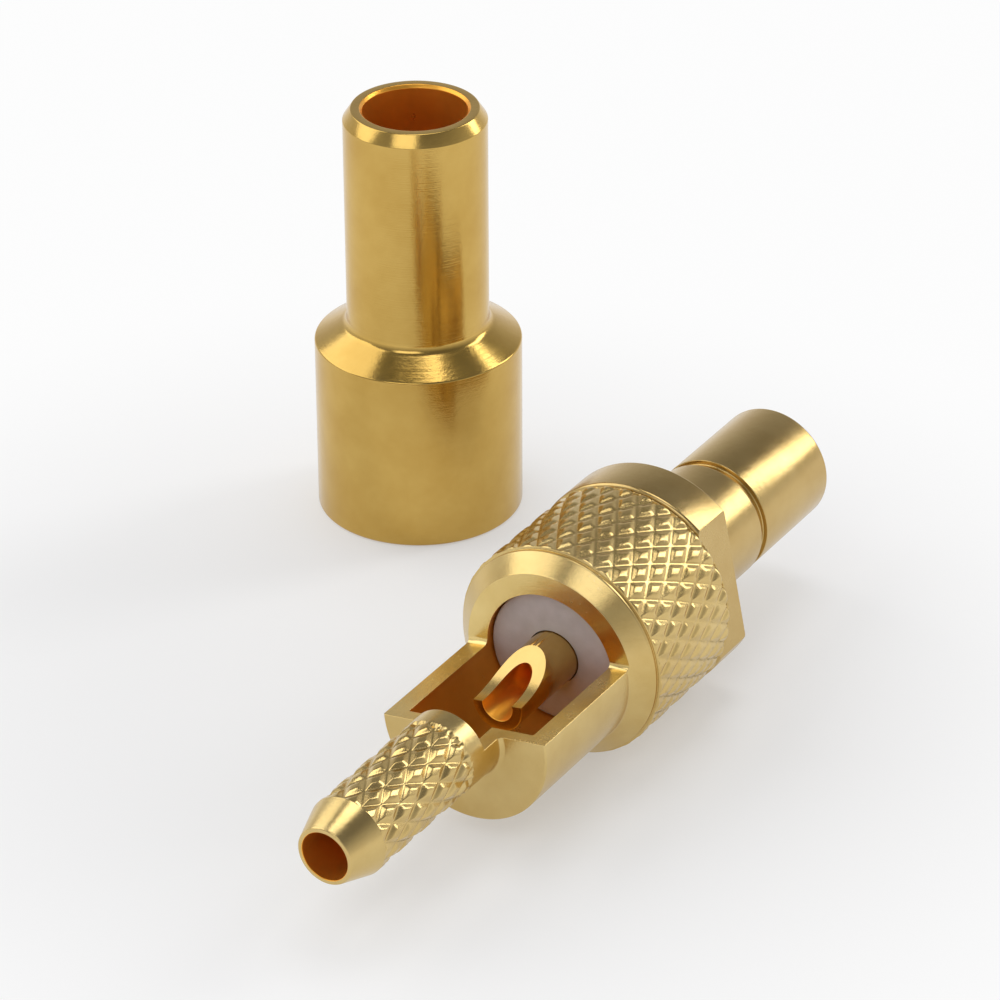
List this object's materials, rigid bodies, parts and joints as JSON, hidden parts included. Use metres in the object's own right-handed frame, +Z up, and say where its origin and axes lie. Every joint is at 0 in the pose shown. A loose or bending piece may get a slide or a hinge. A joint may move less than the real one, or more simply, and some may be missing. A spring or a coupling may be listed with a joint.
{
  "type": "coaxial crimp jack",
  "caption": "Gold-plated straight crimp jack for thin coaxial cable, with an open soldering window, lying beside its loose stepped crimp ferrule.",
  "frame": {"origin": "middle of the footprint of both loose parts, on the surface that they rest on", "axes": "+X along the jack towards its mating end, +Y from the jack towards the ferrule, +Z up"},
  "size_m": [0.0172, 0.0122, 0.0091],
  "materials": {
    "body_gold": "satin gold plating over a turned, milled and diamond-knurled surface",
    "shell_gold": "satin gold plating over a fine-turned surface",
    "insulator_white": "matte white fluoropolymer",
    "contact_gold": "bright gold plating",
    "ferrule_gold": "bright gold plating with fine lengthwise and turning marks"
  },
  "bodies": {
    "root": {"rear_body": "body_gold", "front_shell": "shell_gold", "insulator": "insulator_white", "centre_contact": "contact_gold", "crimp_ferrule": "ferrule_gold"}
  },
  "joints": []
}
